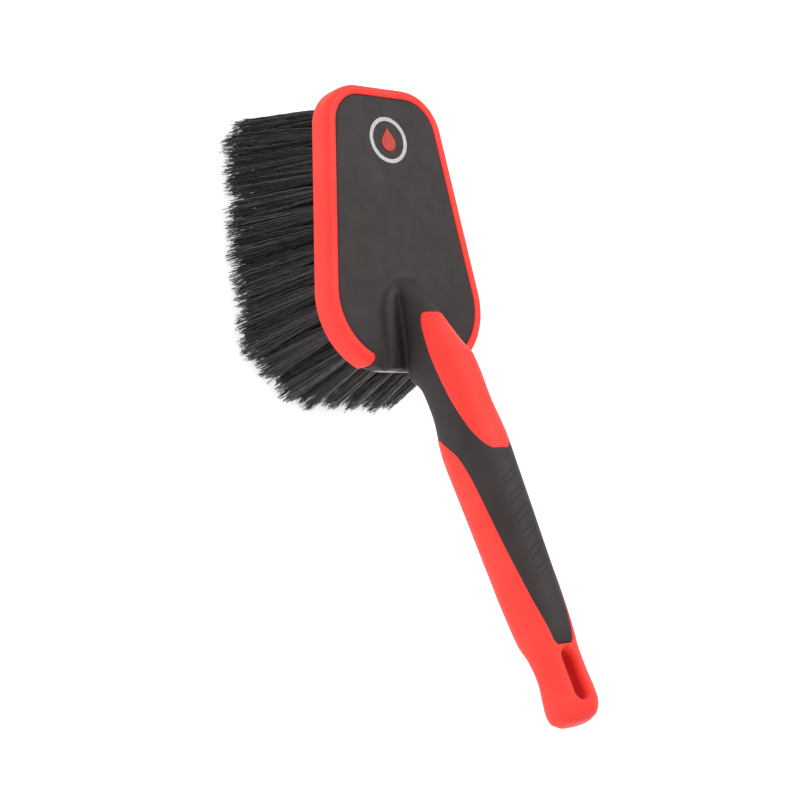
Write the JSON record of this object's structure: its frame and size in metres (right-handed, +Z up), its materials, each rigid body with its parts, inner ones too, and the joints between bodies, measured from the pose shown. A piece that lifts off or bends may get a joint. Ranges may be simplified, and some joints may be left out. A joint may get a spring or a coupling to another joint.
{
  "type": "wheel brush",
  "caption": "Hand wash brush with a tapered, bumper-edged head of long soft tufts and a raised two-colour soft-grip handle with a hanging slot.",
  "frame": {"origin": "a point of the scrubbing face, the plane of the bristle tips, under the middle of the head", "axes": "+X from the head towards the hanging end, +Z up through the head, away from the bristles, +Y to the side"},
  "size_m": [0.2885, 0.1008, 0.134],
  "materials": {
    "black_plastic": "matt soft-touch",
    "red_rubber": "matt soft-touch",
    "grey_plastic": "matt moulded",
    "badge_grey": "satin print",
    "badge_red": "satin print",
    "bristle": "satin filament",
    "staple_wire": "drawn"
  },
  "bodies": {
    "root": {"core": "black_plastic", "bumper": "red_rubber", "thumb_pad": "red_rubber", "grip": "red_rubber", "block": "grey_plastic", "badge_ring": "badge_grey", "badge_drop": "badge_red", "tufts_1": "bristle", "tufts_2": "bristle", "tufts_3": "bristle", "tufts_4": "bristle", "tufts_5": "bristle", "tufts_6": "bristle", "tufts_7": "bristle", "tufts_8": "bristle", "tufts_9": "bristle", "tufts_10": "bristle", "tufts_11": "bristle", "tufts_12": "bristle", "tufts_13": "bristle", "staples_1": "staple_wire", "staples_2": "staple_wire", "staples_3": "staple_wire", "staples_4": "staple_wire", "staples_5": "staple_wire", "staples_6": "staple_wire", "staples_7": "staple_wire", "staples_8": "staple_wire", "staples_9": "staple_wire", "staples_10": "staple_wire", "staples_11": "staple_wire", "staples_12": "staple_wire", "staples_13": "staple_wire"}
  },
  "joints": []
}
